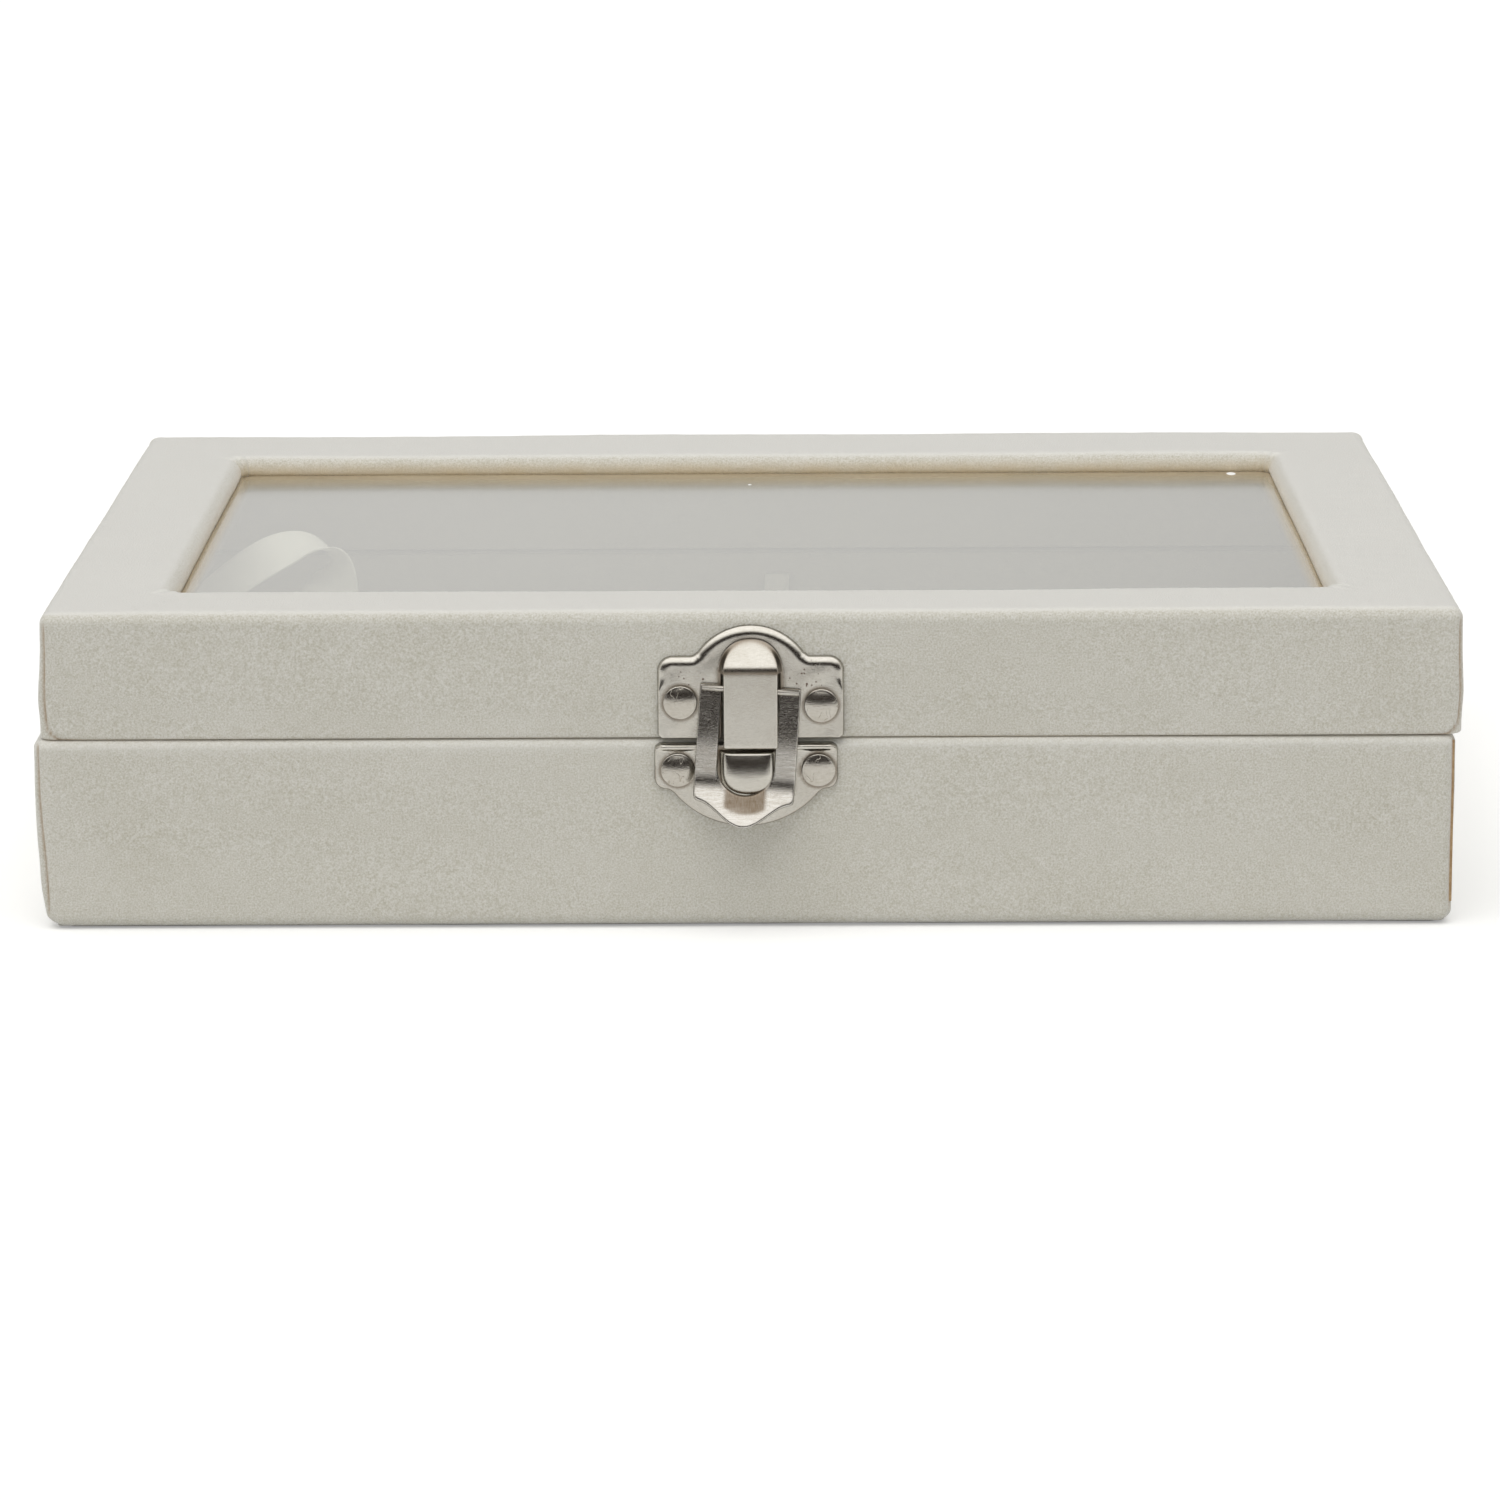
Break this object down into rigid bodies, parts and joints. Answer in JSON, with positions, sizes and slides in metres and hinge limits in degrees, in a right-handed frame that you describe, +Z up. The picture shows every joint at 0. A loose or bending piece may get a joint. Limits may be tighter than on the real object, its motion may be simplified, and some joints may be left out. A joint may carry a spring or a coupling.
{
  "type": "ring display box",
  "caption": "Shallow velvet-covered jewellery box with a hinged glass-window lid, a snap latch in front, a stay ribbon and padded rolls that hold rings.",
  "frame": {"origin": "centre of the underside, on the surface that the box stands on", "axes": "+X to the right along the long side, -Y towards the latch, +Z up"},
  "size_m": [0.2, 0.1579, 0.0458],
  "materials": {
    "velvet": "short-pile cream velvet",
    "roll_velvet": "cream velvet over foam",
    "lining": "flocked card",
    "felt": "thin felt sheet",
    "satin": "woven satin ribbon",
    "board": "raw fibreboard",
    "glass": "clear pane",
    "nickel": "nickel-plated pressed steel",
    "hinge_metal": "nickel-plated steel"
  },
  "bodies": {
    "base": {"base_floor_board": "board", "base_front_wall": "board", "base_rear_wall": "board", "base_left_wall": "board", "base_right_wall": "board", "base_velvet": "velvet", "underside_felt": "felt", "base_front_lining": "lining", "base_rear_lining": "lining", "base_left_lining": "lining", "base_right_lining": "lining", "insert_board": "lining", "pull_tab": "satin", "stay_ribbon": "satin", "ring_roll_1": "roll_velvet", "ring_roll_2": "roll_velvet", "ring_roll_3": "roll_velvet", "ring_roll_4": "roll_velvet", "ring_roll_5": "roll_velvet", "ring_roll_6": "roll_velvet", "ring_roll_7": "roll_velvet", "ring_roll_8": "roll_velvet", "latch_base_plate": "nickel", "latch_base_nails": "nickel", "hinge_base_nails": "hinge_metal", "hinge_left_base_leaf": "hinge_metal", "hinge_right_base_leaf": "hinge_metal", "hinge_left_pin": "hinge_metal", "hinge_right_pin": "hinge_metal"},
    "lid": {"lid_front_wall": "board", "lid_rear_wall": "board", "lid_left_wall": "board", "lid_right_wall": "board", "lid_front_rail": "board", "lid_rear_rail": "board", "lid_left_rail": "board", "lid_right_rail": "board", "lid_velvet": "velvet", "glass_pane": "glass", "lid_front_lining": "lining", "lid_rear_lining": "lining", "lid_left_lining": "lining", "lid_right_lining": "lining", "latch_lid_plate": "nickel", "latch_lid_nails": "nickel", "hinge_lid_nails": "hinge_metal", "hinge_left_lid_leaf": "hinge_metal", "hinge_right_lid_leaf": "hinge_metal"},
    "lever": {"latch_lever": "nickel"}
  },
  "joints": [
    {"name": "lid_hinge", "type": "hinge", "parent": "base", "child": "lid", "pos_m": [0, 0.0766, 0.0276], "axis": [-1, 0, 0], "range_deg": [0, 95], "deforming": ["stay_ribbon"]},
    {"name": "latch_swing", "type": "hinge", "parent": "lid", "child": "lever", "pos_m": [0, -0.07715, 0.0349], "axis": [-0.9986, 0, 0.0523], "range_deg": [0, 110]}
  ]
}
